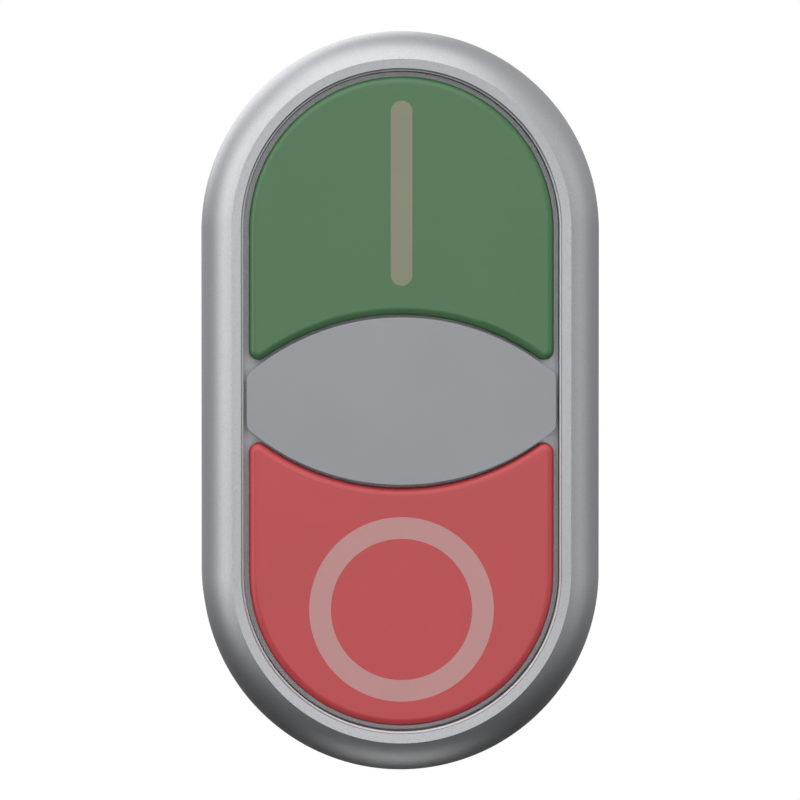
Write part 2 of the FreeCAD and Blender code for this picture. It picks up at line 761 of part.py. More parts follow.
# ---------------------------------------------------------------- the two buttons
def button(colour, symbol_outline, turned):
    """Cap, inlaid symbol, carrier with its stem, and return spring of one button."""
    cap = body(f"{colour}_cap_body")
    pad(cap, f"{colour}_cap_pad", button_outline("0"), "button_face", "skirt_rear")
    soften(
        cap,
        f"{colour}_cap_corners",
        "Fillet",
        "corner_round",
        lambda edge: along_y(edge) and edge.Vertexes[0].Z < value("lens_half_height"),
    )
    soften(cap, f"{colour}_cap_edge", "Fillet", "edge_round", at_depth("button_face"))
    roof = "button_face + button_roof"
    pocket(cap, f"{colour}_cap_inside", button_outline("button_wall"), roof, "skirt_rear")
    reach = f"{BUTTON} - button_wall"
    pocket(
        cap,
        f"{colour}_cap_opening",
        rectangle(f"-({reach})", reach, "0", "end_centres / 2"),
        roof,
        "skirt_rear",
    )
    face = ("button_face", "button_face + symbol_depth")
    pocket(cap, f"{colour}_cap_symbol", symbol_outline, *face)
    subpart(cap, f"{colour}_cap", turned)

    inlay = body(f"{colour}_symbol_body")
    pad(inlay, f"{colour}_symbol_pad", symbol_outline, *face)
    subpart(inlay, f"{colour}_symbol", turned)

    slider = body(f"{colour}_slider_body")
    inset = "button_wall + carrier_fit"
    pad(slider, f"{colour}_plate", button_outline(inset), roof, f"{roof} + carrier_thick")
    arm = ("skirt_rear - arm_thick", "skirt_rear")
    arm_sides = ("-stem_x - arm_half", "-stem_x + arm_half")
    pad(slider, f"{colour}_arm", rectangle(*arm_sides, "-stem_radius - 0.2", "12"), *arm)
    pad(slider, f"{colour}_tongue", rectangle("-2.8", "2.8", "well_z - 2.2", "well_z + 3.3"), *arm)
    pad(slider, f"{colour}_peg", circle("1.1", "0", "well_z"), "skirt_rear", "skirt_rear + 1.5")
    pad(slider, f"{colour}_stem", circle("stem_radius", "-stem_x"), "skirt_rear", "stem_rear")
    soften(slider, f"{colour}_stem_lead", "Chamfer", "0.35", at_depth("stem_rear"))
    subpart(slider, f"{colour}_slider", turned)

    length = ("skirt_rear", "well_rear")
    coil = spring(f"{colour}_coil", "coil_radius", "coil_wire", 8, length, z="well_z")
    subpart(coil, f"{colour}_return_spring", turned)


bar = "(symbol_size - symbol_stroke) / 2"
button(
    "green",
    stadium("symbol_stroke / 2", f"symbol_height - {bar}", f"symbol_height + {bar}"),
    False,
)
button(
    "red",
    together(
        circle("symbol_size / 2", "0", "symbol_height"),
        circle("symbol_size / 2 - symbol_stroke", "0", "symbol_height"),
    ),
    True,
)

# ---------------------------------------------------------------- fixing adapter
# Slides over the shank from behind; the latch drops into the shank's groove and two clamp screws
# push their feet against the panel.
adapter = body("adapter_body")
WIDE = ("-adapter_half_width", "adapter_half_width")
pad(
    adapter,
    "adapter_pad",
    rectangle(*WIDE, "-adapter_half_height", "adapter_half_height"),
    "adapter_front",
    "adapter_rear",
)
soften(adapter, "adapter_corners", "Fillet", "adapter_corner", along_y)
RAIL = ("-rail_half", "rail_half")
rails = both(polygon, *slot(*RAIL, "rail_inner", "rail_outer"))
pad(adapter, "rails", rails, "adapter_rear", "rail_rear")
lips = both(polygon, *slot(*RAIL, "lip_inner", "rail_inner"))
pad(adapter, "rail_lips", lips, "lip_front", "lip_rear")
pocket(adapter, "adapter_hole", circle("adapter_bore"), "adapter_front", "adapter_rear")
LATCH_SIDE = "latch_half + latch_fit"
pocket(
    adapter,
    "latch_slot",
    rectangle(f"-({LATCH_SIDE})", LATCH_SIDE, "groove_front", "groove_front + groove_width"),
    "7",
    "adapter_half_height",
    "XY_Plane",
)
for name, radius, low, high in (
    ("clamp_counterbores", "clamp_head + 0.15", "clamp_seat", "adapter_rear"),
    ("clamp_threads", "clamp_screw + thread_fit", "foot_rear", "clamp_seat"),
    ("foot_seats", "foot_radius + 0.1", "adapter_front", "foot_rear + 0.1"),
):
    pair = [circle(radius, f"{side} * clamp_x", f"{side} * clamp_z") for side in (-1, 1)]
    pocket(adapter, name, together(*pair), low, high)
subpart(adapter, "adapter_frame")

# ---------------------------------------------------------------- latch
LATCH_DEPTH = ("groove_front + latch_fit", "groove_front + groove_width - latch_fit")
latch_slab = fuse(
    "latch_slab",
    box("latch_plate", ("-latch_half", "latch_half"), LATCH_DEPTH, ("8", "latch_top")),
    box("latch_tab", ("-tab_half", "tab_half"), LATCH_DEPTH, ("latch_top", "tab_high")),
    box(
        "latch_grip",
        ("-tab_half", "tab_half"),
        (f"{LATCH_DEPTH[0]} - 1.2", f"{LATCH_DEPTH[1]} + 1.2"),
        ("tab_low", "tab_high"),
    ),
)
latch_arc = rod(
    "latch_arc",
    "groove_radius + latch_bite + latch_travel",
    ("groove_front - 1", "groove_front + groove_width + 1"),
)
subpart(cut("latch_cut", latch_slab, latch_arc), "latch")


# ---------------------------------------------------------------- screws
def screw(label, radius, head_radius, tip, seat, x, z, turned=False):
    """A slotted cheese-head screw whose head's underside lies at seat and whose end is at tip."""
    shank = rod(f"{label}_shank", radius, (tip, seat), x, z)
    cheese = rod(f"{label}_head", head_radius, (seat, f"{seat} + head_thick"), x, z)
    slot_box = box(
        f"{label}_slot",
        (f"{x} - {head_radius}", f"{x} + {head_radius}"),
        (f"{seat} + head_thick / 2", f"{seat} + head_thick + 1"),
        (f"{z} - 0.35", f"{z} + 0.35"),
    )
    made = cut(f"{label}_cut", fuse(f"{label}_solid", shank, cheese), slot_box)
    subpart(made, label, turned)


for side, place in ((1, "upper"), (-1, "lower")):
    x, z = f"{side} * clamp_x", f"{side} * clamp_z"
    foot = rod(f"foot_{place}", "foot_radius", ("foot_front", "foot_rear"), x, z)
    socket = rod(f"foot_socket_{place}", "clamp_screw + 0.1", ("foot_front + 0.6", "foot_rear"), x, z)
    subpart(cut(f"foot_cut_{place}", foot, socket), f"clamp_foot_{place}")
    seat = "clamp_seat + clamp_travel + 0.1"
    screw(f"clamp_screw_{place}", "clamp_screw", "clamp_head", "foot_front + 0.6", seat, x, z)


# ---------------------------------------------------------------- blocks on the adapter
NOTCH = slot("lip_front - 0.1", "lip_rear + 0.1", "lip_inner - 0.1", "block_neck + 1")
SHOULDER = "rail_rear + 0.2"
SIDE = (
    ("adapter_rear", "block_neck"),
    (SHOULDER, "block_neck"),
    (SHOULDER, "block_tower"),
    ("block_step", "block_tower"),
    ("block_step", "block_middle"),
    ("block_rear", "block_middle"),
)
BLOCK_SIDE = polygon(*SIDE, *[(y, f"-{z}") for y, z in reversed(SIDE)])
PEGS = (
    ("adapter_rear + 2.8", "13.5"),
    ("adapter_rear + 2.8", "-13.5"),
    ("block_rear - 0.75", "5"),
    ("block_rear - 0.75", "-5"),
)


def block_case(prefix, middle, works, turned):
    """Housing open on one side, and the cover that closes it, with its pegs."""
    outer = f"{middle} - block_half"
    joint = f"{outer} + cover_thick"
    inner = f"{middle} + block_half"
    wall = f"{inner} - side_wall"
    case = body(f"{prefix}_housing_body")
    pad(case, f"{prefix}_case", BLOCK_SIDE, joint, inner, "YZ_Plane")
    pocket(case, f"{prefix}_notches", both(polygon, *NOTCH), joint, inner, "YZ_Plane")
    hollows = (
        ("chamber", rectangle("chamber_front", "chamber_rear", "-chamber_half", "chamber_half")),
        (
            "terminals",
            both(polygon, *slot("pocket_front", "pocket_rear", "pocket_inner", "pocket_outer")),
        ),
        (
            "cores",
            both(
                polygon,
                *slot("chamber_rear + 1.6", "return_rear + 0.2", "return_well + 1.2", "9.4"),
            ),
        ),
        ("rear_core", rectangle("return_rear + 1.4", "block_rear - 1.5", "-8.6", "8.6")),
    )
    for name, outline in hollows:
        pocket(case, f"{prefix}_{name}", outline, joint, wall, "YZ_Plane")
    for side in (-1, 1):
        place = "upper" if side > 0 else "lower"
        opening = circle("driver_hole", works, f"{side} * terminal_z")
        pocket(case, f"{prefix}_driver_{place}", opening, "saddle_front + 0.9", "block_step")
        window = rectangle(f"{works} - 2.4", f"{works} + 2.4", "plate_front + 1", "pocket_rear - 0.4")
        low, high = ("pocket_outer", "block_tower") if side > 0 else ("-block_tower", "-pocket_outer")
        pocket(case, f"{prefix}_wire_{place}", window, low, high, "XY_Plane")
    holes = together(*[circle("peg_radius + 0.05", y, z) for y, z in PEGS])
    pocket(case, f"{prefix}_peg_holes", holes, joint, f"{joint} + 1.5", "YZ_Plane")

    lid = body(f"{prefix}_cover_body")
    pad(lid, f"{prefix}_lid", BLOCK_SIDE, outer, joint, "YZ_Plane")
    pocket(lid, f"{prefix}_lid_notches", both(polygon, *NOTCH), outer, joint, "YZ_Plane")
    pegs = together(*[circle("peg_radius", y, z) for y, z in PEGS])
    pad(lid, f"{prefix}_pegs", pegs, joint, f"{joint} + 1.3", "YZ_Plane")
    subpart(lid, f"{prefix}_cover", turned)
    return case, joint, wall


def terminal_strips(prefix, works, tip_front, tip_rear, strip_front, strip_low, turned):
    """The two fixed strips of a block, each with its terminal plate and contact tip."""
    strip = body(f"{prefix}_strip_body")
    half = "saddle_half_x - 0.25"
    outer, plate_rear = "strip_z + strip_thick", "plate_front + strip_thick"
    if tip_front:
        foot = f"{strip_front} + strip_thick"
        corners = [(strip_front, strip_low), (foot, strip_low), (foot, "strip_z")]
    else:
        corners = [(strip_front, "strip_z")]
    outline = polygon(
        *corners,
        (plate_rear, "strip_z"),
        (plate_rear, "pocket_outer - 0.2"),
        ("plate_front", "pocket_outer - 0.2"),
        ("plate_front", outer),
        (strip_front, outer),
    )
    pad(strip, f"{prefix}_strip", outline, f"{works} - ({half})", f"{works} + {half}", "YZ_Plane")
    hole = circle("terminal_screw + thread_fit", works, "terminal_z")
    pocket(strip, f"{prefix}_strip_hole", hole, "plate_front", plate_rear)
    if tip_front:
        tip = circle("tip_radius", works, "tip_z")
        pad(strip, f"{prefix}_strip_tip", tip, tip_front, tip_rear)
    opposite = doc.addObject("Part::Mirroring", f"{prefix}_strip_lower")
    opposite.Source = strip
    opposite.Normal = Vector(0, 0, 1)
    subpart(group(f"{prefix}_strips", strip, opposite), f"{prefix}_fixed_contacts", turned)


def terminals(prefix, works, turned):
    """The two clamping saddles of a block and their screws."""
    for side, place in ((1, "upper"), (-1, "lower")):
        z = f"{side} * terminal_z"
        depth = ("saddle_front", "saddle_front + saddle_thick")
        slab = box(
            f"{prefix}_saddle_box_{place}",
            (f"{works} - saddle_half_x", f"{works} + saddle_half_x"),
            depth,
            (f"{z} - saddle_half_z", f"{z} + saddle_half_z"),
        )
        hole = rod(
            f"{prefix}_saddle_hole_{place}",
            "terminal_screw + thread_fit",
            ("saddle_front - 1", f"{depth[1]} + 1"),
            works,
            z,
        )
        # a turned block's upper terminal ends up below
        shown = ("lower" if side > 0 else "upper") if turned else place
        subpart(cut(f"{prefix}_saddle_cut_{place}", slab, hole), f"{prefix}_saddle_{shown}", turned)
        screw(
            f"{prefix}_screw_{shown}",
            "terminal_screw",
            "terminal_head",
            "terminal_tip",
            depth[1],
            works,
            z,
            turned,
        )


def contact_block(prefix, make, turned):
    """A contact block: the make contact closes when its button is pressed, the other opens."""
    middle, works = "-slot_pitch", "(works_x - slot_pitch)"
    case, joint, wall = block_case(prefix, middle, works, turned)
    guide = ("plunger_half_z + 0.1", "plunger_half_z + 1.1")
    guides = together(
        both(polygon, *slot("chamber_front", "chamber_front + 3", *guide)),
        both(polygon, *slot("chamber_rear - 2.6", "chamber_rear", *guide)),
    )
    pad(case, f"{prefix}_guides", guides, joint, wall, "YZ_Plane")
    nose = f"{works} + nose_x"
    nose_hole = circle("nose_radius + 0.1", nose)
    pocket(case, f"{prefix}_nose_hole", nose_hole, "adapter_rear", "plunger_front")
    well = circle("return_well", works)
    pocket(case, f"{prefix}_well", well, "chamber_rear", "return_rear")
    subpart(case, f"{prefix}_housing", turned)

    plunger = body(f"{prefix}_plunger_body")
    span = (f"{works} - plunger_half_x", f"{works} + plunger_half_x")
    pad(
        plunger,
        f"{prefix}_plunger_pad",
        rectangle(*span, "-plunger_half_z", "plunger_half_z"),
        "plunger_front",
        "plunger_rear",
    )
    pad(plunger, f"{prefix}_nose", circle("nose_radius", nose), "stem_rear", "plunger_front")
    window = rectangle(
        f"{works} - window_half", f"{works} + window_half", "window_front", "window_rear"
    )
    pocket(
        plunger, f"{prefix}_window", window, "-plunger_half_z", "plunger_half_z", "XY_Plane"
    )
    subpart(plunger, f"{prefix}_plunger", turned)

    front = "(window_rear - bridge_thick)" if make else "closed_front"
    rear = f"({front} + bridge_thick)"
    bridge = body(f"{prefix}_bridge_body")
    pad(
        bridge,
        f"{prefix}_bridge_pad",
        rectangle(
            f"{works} - bridge_half_x",
            f"{works} + bridge_half_x",
            "-bridge_half_z",
            "bridge_half_z",
        ),
        front,
        rear,
    )
    tips = together(*[circle("tip_radius", works, f"{side} * tip_z") for side in (-1, 1)])
    tip_depth = (rear, f"{rear} + tip_thick") if make else (f"{front} - tip_thick", front)
    pad(bridge, f"{prefix}_bridge_tips", tips, *tip_depth)
    subpart(bridge, f"{prefix}_bridge", turned)

    seats = ("window_front", front) if make else (rear, "window_rear")
    coil = spring(f"{prefix}_contact_coil", "coil_radius", "coil_wire", 5, seats, works)
    subpart(coil, f"{prefix}_contact_spring", turned)
    seats = ("plunger_rear", "return_rear")
    coil = spring(f"{prefix}_return_coil", "coil_radius", "coil_wire", 8, seats, works)
    subpart(coil, f"{prefix}_return_spring", turned)

    if make:
        tip_front = f"{tip_depth[1]} + open_gap"
        tip_rear = f"{tip_front} + tip_thick"
        strip_front = tip_rear
    else:
        tip_rear = tip_depth[0]
        tip_front = f"{tip_rear} - tip_thick"
        strip_front = f"{tip_front} - strip_thick"
    terminal_strips(prefix, works, tip_front, tip_rear, strip_front, "strip_low", turned)
    terminals(prefix, works, turned)


contact_block("make", True, False)
contact_block("brk", False, True)

# ---------------------------------------------------------------- lamp block
lamp_case, lamp_joint, lamp_wall = block_case("lamp", "0", "works_x", False)
LAMP_POST = ("emitter_rear", "adapter_rear")
LEADS = ("emitter_rear", "board_front + 3.2")
pad(lamp_case, "lamp_post", circle("3.6"), *LAMP_POST)
pocket(lamp_case, "lamp_post_hole", circle("1.9"), "emitter_rear", "chamber_front")
subpart(lamp_case, "lamp_housing")
terminal_strips("lamp", "works_x", None, None, "chamber_front + 10.8", None, False)
terminals("lamp", "works_x", False)
board = box(
    "board_box",
    ("board_x", "board_x + board_thick"),
    ("board_front", "board_rear"),
    ("-strip_z", "strip_z"),
)
subpart(board, "lamp_board")
resistors = []
for y in ("board_front + 6.7", "board_front + 10.7", "board_front + 14.7"):
    barrel = doc.addObject("Part::Cylinder", f"resistor_{len(resistors)}")
    bind(
        barrel,
        Radius="1.0",
        Height="6.4",
        Placement__Base__x="board_x - 1.0",
        Placement__Base__y=y,
        Placement__Base__z="-3.2",
    )
    lead = doc.addObject("Part::Cylinder", f"resistor_lead_{len(resistors)}")
    bind(
        lead,
        Radius="0.3",
        Height="11.0",
        Placement__Base__x="board_x - 0.4",
        Placement__Base__y=y,
        Placement__Base__z="-5.5",
    )
    resistors.append(fuse(f"resistor_whole_{len(resistors)}", barrel, lead))
subpart(group("resistors", *resistors), "lamp_resistors")
dome = bind(
    doc.addObject("Part::Sphere", "emitter_dome"),
    Radius="emitter_radius",
    Placement__Base__y="emitter_front + emitter_radius",
)
emitter = fuse(
    "emitter",
    dome,
    rod("emitter_barrel", "emitter_radius", ("emitter_front + emitter_radius", "emitter_rear")),
    rod("emitter_flange", "emitter_radius + 0.4", ("emitter_rear - 1", "emitter_rear")),
    *[
        box(f"emitter_lead_{i}", ("-0.25", "0.25"), LEADS, (z, f"{z} + 0.5"))
        for i, z in enumerate(("-1.52", "1.02"))
    ],
)
subpart(emitter, "lamp_emitter")

# ---------------------------------------------------------------- checks and files
doc.recompute()
for thing in doc.Objects:
    if any(word in thing.State for word in ("Invalid", "Error")):
        raise ValueError(f"{thing.Label} is {thing.State}")
for label, thing in SUBPARTS.items():
    shape = thing.Shape
    if shape.isNull() or not shape.isValid():
        raise ValueError(f"{label} has no valid shape")
os.makedirs("parts", exist_ok=True)
for label, thing in SUBPARTS.items():
    thing.Shape.exportStep(f"parts/{label}.step")
print(len(SUBPARTS), "sub-parts written")
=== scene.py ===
import math

import bpy
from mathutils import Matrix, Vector


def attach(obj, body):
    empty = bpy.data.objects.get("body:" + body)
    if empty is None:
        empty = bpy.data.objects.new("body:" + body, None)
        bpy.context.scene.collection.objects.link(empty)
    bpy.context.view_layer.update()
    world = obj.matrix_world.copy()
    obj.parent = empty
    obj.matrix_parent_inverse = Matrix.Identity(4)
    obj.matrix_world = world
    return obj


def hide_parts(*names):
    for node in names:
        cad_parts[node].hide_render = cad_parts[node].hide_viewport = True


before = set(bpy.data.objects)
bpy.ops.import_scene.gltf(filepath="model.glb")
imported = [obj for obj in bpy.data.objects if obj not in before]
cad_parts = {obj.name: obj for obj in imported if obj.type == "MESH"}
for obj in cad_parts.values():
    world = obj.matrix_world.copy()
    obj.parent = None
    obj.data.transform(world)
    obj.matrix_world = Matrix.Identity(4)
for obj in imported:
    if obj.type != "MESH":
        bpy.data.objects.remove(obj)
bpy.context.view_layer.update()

# ---------------------------------------------------------------- head body
# The carrier that everything in front of the panel sits in: black-grey glass-filled nylon, moulded
# in one shot with its collar and its shank. The tool is spark-eroded, so its skin is matt.
MM = 0.001


def linear(code):
    """An sRGB hex colour as linear values."""
    parts = [int(code[i : i + 2], 16) / 255 for i in (1, 3, 5)]
    return [c / 12.92 if c <= 0.04045 else ((c + 0.055) / 1.055) ** 2.4 for c in parts] + [1.0]


def add_node(tree, kind, links=None, inputs=None, **settings):
    """Adds a node with its settings, its constant inputs and the outputs that feed its others."""
    made = tree.nodes.new(kind)
    for key, item in settings.items():
        setattr(made, key, item)
    for key, item in (inputs or {}).items():
        made.inputs[key].default_value = item
    for key, source in (links or {}).items():
        tree.links.new(source, made.inputs[key])
    return made


def begin_material(name, colour, **shader_inputs):
    """A new material, its node tree, its shader and its object coordinates."""
    material = bpy.data.materials.new(name)
    material.use_nodes = True
    tree = material.node_tree
    shader = tree.nodes["Principled BSDF"]
    shader.inputs["Base Color"].default_value = linear(colour)
    for key, item in shader_inputs.items():
        shader.inputs[key.replace("_", " ")].default_value = item
    place = add_node(tree, "ShaderNodeTexCoord").outputs["Object"]
    return material, tree, shader, place


def clouds(tree, place, size, detail, **more):
    """A random cloudy pattern, whose clouds are size mm wide."""
    inputs = {"Scale": 1 / (size * MM), "Detail": detail, **more}
    return add_node(tree, "ShaderNodeTexNoise", {"Vector": place}, inputs).outputs["Fac"]


def vary(tree, source, low, high, socket):
    """Feeds a shader socket from a pattern, between two values."""
    ranged = add_node(
        tree, "ShaderNodeMapRange", {"Value": source}, {"To Min": low, "To Max": high}
    )
    tree.links.new(ranged.outputs["Result"], socket)


def stain(tree, source, pale, dark, shader):
    """Feeds the base colour from a pattern, between two hex colours."""
    mixed = add_node(tree, "ShaderNodeMix", {"Factor": source}, data_type="RGBA")
    mixed.inputs[6].default_value = linear(pale)
    mixed.inputs[7].default_value = linear(dark)
    tree.links.new(mixed.outputs[2], shader.inputs["Base Color"])


def grain(tree, place, shader, cell, relief):
    """A fine random relief: cell is the width of its grains and relief their height, both in mm."""
    cells = clouds(tree, place, cell, 3.0, Roughness=0.6)
    bump = add_node(
        tree,
        "ShaderNodeBump",
        {"Height": cells},
        {"Strength": 1.0, "Distance": relief * MM},
    )
    tree.links.new(bump.outputs["Normal"], shader.inputs["Normal"])
    return cells


FLOW_MARK = 6
SHEEN_SPREAD = 0.08


def moulding(name, pale, dark, roughness, cell, relief, **shader_inputs):
    """A moulded plastic: clouded a little by its flow, with a spark-eroded grain and uneven sheen."""
    material, tree, shader, place = begin_material(name, pale, Roughness=roughness, **shader_inputs)
    stain(tree, clouds(tree, place, FLOW_MARK, 4.0), pale, dark, shader)
    cells = grain(tree, place, shader, cell, relief)
    low, high = roughness - SHEEN_SPREAD, roughness + SHEEN_SPREAD
    vary(tree, cells, low, high, shader.inputs["Roughness"])
    return material


def let_light_in(material, depth):
    """Lets light soak this many millimetres into a moulded plastic."""
    shader = material.node_tree.nodes["Principled BSDF"]
    shader.inputs["Subsurface Radius"].default_value = [depth * MM] * 3


def dress(name, material):
    """Gives a CAD node a better material, in every slot that it has."""
    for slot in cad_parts[name].material_slots:
        slot.material = material


# glass-filled nylon: dull charcoal that only catches a soft edge of light
nylon = moulding(
    "charcoal_glass_filled_nylon", "#3A3B38", "#2F302E", roughness=0.62, cell=0.25, relief=0.015
)
dress("head_body", nylon)

# ---------------------------------------------------------------- panel gasket and stem seals
# The oval gasket that seals the panel hole and the rings that the two stems slide in: black nitrile
# rubber, pressed in a steel mould and pushed into place by hand.

# nitrile rubber: a deep black with a dusty bloom, and no sharp highlight
rubber, tree, shader, place = begin_material("black_nitrile_rubber", "#1B1B1C", Roughness=0.8)
bloom = clouds(tree, place, 1.5, 6.0)
stain(tree, bloom, "#161617", "#27272A", shader)
vary(tree, bloom, 0.7, 0.92, shader.inputs["Roughness"])
grain(tree, place, shader, cell=0.12, relief=0.008)
for name in ("panel_gasket", "stem_seals"):
    dress(name, rubber)

# ---------------------------------------------------------------- sliders and springs
# Each button's carrier with its stem, of slippery undyed acetal, and the coil springs that push the
# buttons, plungers and bridges back, wound from drawn stainless wire.
BUTTONS = ("green", "red")
CONTACT_BLOCKS = ("make", "brk")

# undyed acetal: warm off-white, and a little light gets in at its edges
acetal = moulding(
    "undyed_acetal",
    "#D9D6CC",
    "#CFCCC0",
    roughness=0.42,
    cell=0.2,
    relief=0.006,
    Subsurface_Weight=0.15,
)
let_light_in(acetal, 1)
for button in BUTTONS:
    dress(f"{button}_slider", acetal)


def bare_metal(name, colour, pale, dark, size, detail, smooth, rough, Roughness):
    """A metal whose colour and polish change together over patches of size mm."""
    material, tree, shader, place = begin_material(
        name, colour, Metallic=1.0, Roughness=Roughness
    )
    patches = clouds(tree, place, size, detail)
    stain(tree, patches, pale, dark, shader)
    vary(tree, patches, smooth, rough, shader.inputs["Roughness"])
    return material


# drawn wire: bright steel with fine darker flecks where the die dragged
wire = bare_metal(
    "drawn_spring_wire",
    "#B9B9B6",
    pale="#C4C4C1",
    dark="#9A9A98",
    size=0.05,
    detail=2.0,
    smooth=0.22,
    rough=0.4,
    Roughness=0.3,
)
for button in BUTTONS:
    dress(f"{button}_return_spring", wire)
for block in CONTACT_BLOCKS:
    dress(f"{block}_contact_spring", wire)
    dress(f"{block}_return_spring", wire)

# ---------------------------------------------------------------- caps
# The two buttons' caps: polycarbonate moulded in two shots, with a smooth satin face, a small round
# along every edge, and one side hollowed to follow the lens. The symbol is the second shot.
POLYCARBONATE_IOR = 1.58
INLAY_GLOW = 0.6

# satin polycarbonate: dyed right through, a broad soft sheen and hardly any grain
CAP_FINISHES = {
    "green": ("satin_green_polycarbonate", "#528055", "#4E7B51"),
    "red": ("satin_red_polycarbonate", "#D34D52", "#CB494E"),
}
# the second shot: the same resin filled with white, which lets a little light into its skin
INLAY_FINISHES = {
    "green": ("ivory_inlay_resin", "#9A9A84", "#92927D"),
    "red": ("blush_inlay_resin", "#D8A19F", "#CE9997"),
}
for button in BUTTONS:
    shell = moulding(
        *CAP_FINISHES[button], roughness=0.38, cell=0.35, relief=0.004, IOR=POLYCARBONATE_IOR
    )
    dress(f"{button}_cap", shell)
    inlay = moulding(
        *INLAY_FINISHES[button],
        roughness=0.42,
        cell=0.3,
        relief=0.004,
        Subsurface_Weight=0.25,
        IOR=POLYCARBONATE_IOR,
    )
    let_light_in(inlay, INLAY_GLOW)
    dress(f"{button}_symbol", inlay)

# ---------------------------------------------------------------- lens
# The indicator's diffuser: opal acrylic, moulded with a light tube and two legs that stand on the
# head. Its face is very slightly crowned, so that it sheds dirt and catches the light evenly.
ACRYLIC_IOR = 1.49
LENS_GLOW = (1.4, 1.5, 1.6)

# opal acrylic: milky, faintly cool, with light soaking in at its edges and a soft window of gloss
opal, tree, shader, place = begin_material(
    "opal_acrylic", "#B4B6BB", Roughness=0.36, IOR=ACRYLIC_IOR, Subsurface_Weight=0.45
)
shader.inputs["Subsurface Radius"].default_value = [depth * MM for depth in LENS_GLOW]
stain(tree, clouds(tree, place, 8, 3.0), "#AFB1B6", "#A8A9AE", shader)
cells = grain(tree, place, shader, cell=0.3, relief=0.003)
vary(tree, cells, 0.3, 0.44, shader.inputs["Roughness"])
dress("lens", opal)

# ---------------------------------------------------------------- bezel
# The oval ring round the buttons, pressed over the collar until it snaps: its outside is a dome, and
# a flat land runs round the opening. It is coated in satin silver.
END_CENTRE = 12.6
BEZEL_RADIUS = 14.85
BEZEL_REAR = -1.1
BEZEL_WALL = 1.4
BEZEL_SEGMENTS = 256
REAR_BREAK_IN = 0.04
REAR_BREAK_UP = 0.1
SIDE_TALL = 7.0
DRAFT = 0.25
DOME_WIDE = 2.2
DOME_TALL = 2.9
DOME_COUNT = 18
DOME_SPAN = (6, 68)
LAND = 0.85
LAND_DROP = 0.05
LEDGE = -8.9
LIP_ROUND = 0.18
LIP_COUNT = 5
LIP_SPAN = (0, 86)
LIP_CHAMFER = 0.9
SEAM = 0.02
DOUBLES = 0.002
BEZEL_SMOOTH = 14


def only(*pieces):
    """Leaves edit mode and selects these pieces alone; the first becomes the active one."""
    if bpy.context.mode != "OBJECT":
        bpy.ops.object.mode_set(mode="OBJECT")
    bpy.ops.object.select_all(action="DESELECT")
    for piece in pieces:
        piece.select_set(True)
    bpy.context.view_layer.objects.active = pieces[0]


def pick(piece, kind, test):
    """Goes into edit mode with only the vertices, edges or faces selected that pass the test.

    A vertex's test gets its place, an edge's the places of its two ends, and a face's its centre
    and its normal. Places are in millimetres.
    """
    only(piece)
    bpy.ops.object.mode_set(mode="EDIT")
    bpy.ops.mesh.select_mode(type=kind)
    bpy.ops.mesh.select_all(action="DESELECT")
    bpy.ops.object.mode_set(mode="OBJECT")
    mesh = piece.data
    if kind == "VERT":
        for vertex in mesh.vertices:
            vertex.select = bool(test(vertex.co / MM))
    elif kind == "EDGE":
        for edge in mesh.edges:
            edge.select = bool(test(*(mesh.vertices[i].co / MM for i in edge.vertices)))
    else:
        for face in mesh.polygons:
            face.select = bool(test(face.center / MM, face.normal))
    bpy.ops.object.mode_set(mode="EDIT")


def disc(name, radius, y, segments, roll=0.0):
    """Adds a flat round face at a depth, in millimetres, that faces the viewer."""
    only(next(iter(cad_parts.values())))
    bpy.ops.object.select_all(action="DESELECT")
    bpy.ops.mesh.primitive_circle_add(
        vertices=segments,
        radius=radius * MM,
        fill_type="NGON",
        location=(0, y * MM, 0),
        rotation=(math.radians(90), roll, 0),
    )
    piece = bpy.context.object
    piece.name = piece.data.name = name
    bpy.ops.object.transform_apply()
    return piece


def oval(name, radius):
    """A disc at the bezel's rear, pulled apart into an oval, with its face selected."""
    half_step = math.pi / BEZEL_SEGMENTS
    piece = disc(name, radius, BEZEL_REAR, BEZEL_SEGMENTS, half_step)
    pick(piece, "VERT", lambda at: at.z > 0)
    bpy.ops.transform.translate(value=(0, 0, END_CENTRE * MM))
    bpy.ops.mesh.select_all(action="INVERT")
    bpy.ops.transform.translate(value=(0, 0, -END_CENTRE * MM))
    bpy.ops.mesh.select_all(action="SELECT")
    bpy.ops.mesh.select_mode(type="FACE")
    bpy.ops.mesh.select_all(action="SELECT")
    return piece


def terrace(*steps):
    """Takes the selected face in by the first length of each step and outwards by the second."""
    for inwards, up in steps:
        if inwards:
            bpy.ops.mesh.inset(thickness=inwards * MM, depth=up * MM)
        else:
            bpy.ops.mesh.extrude_region_shrink_fatten(
                TRANSFORM_OT_shrink_fatten={"value": up * MM}
            )


def dome_steps(wide, tall, count, span):
    """Terrace steps that follow an ellipse over a span of degrees, from its side to its top."""
    first, last = span
    angles = [math.radians(first + (last - first) * i / count) for i in range(count + 1)]
    run = math.cos(angles[0]) - math.cos(angles[-1])
    rise = math.sin(angles[-1]) - math.sin(angles[0])
    return [
        (
            (math.cos(a) - math.cos(b)) * wide / run,
            (math.sin(b) - math.sin(a)) * tall / rise,
        )
        for a, b in zip(angles, angles[1:])
    ]


def clean(piece, angle):
    """Merges doubles, turns the faces outwards and shades the piece smooth up to an angle."""
    pick(piece, "VERT", lambda at: True)
    bpy.ops.mesh.remove_doubles(threshold=DOUBLES * MM)
    bpy.ops.mesh.normals_make_consistent(inside=False)
    bpy.ops.object.mode_set(mode="OBJECT")
    bpy.ops.object.shade_smooth_by_angle(angle=math.radians(angle))


def place_piece(piece, body, material, node):
    """Finishes a new piece: its material, its body and the CAD node it stands for."""
    piece.data.materials.clear()
    piece.data.materials.append(material)
    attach(piece, body)
    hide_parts(node)


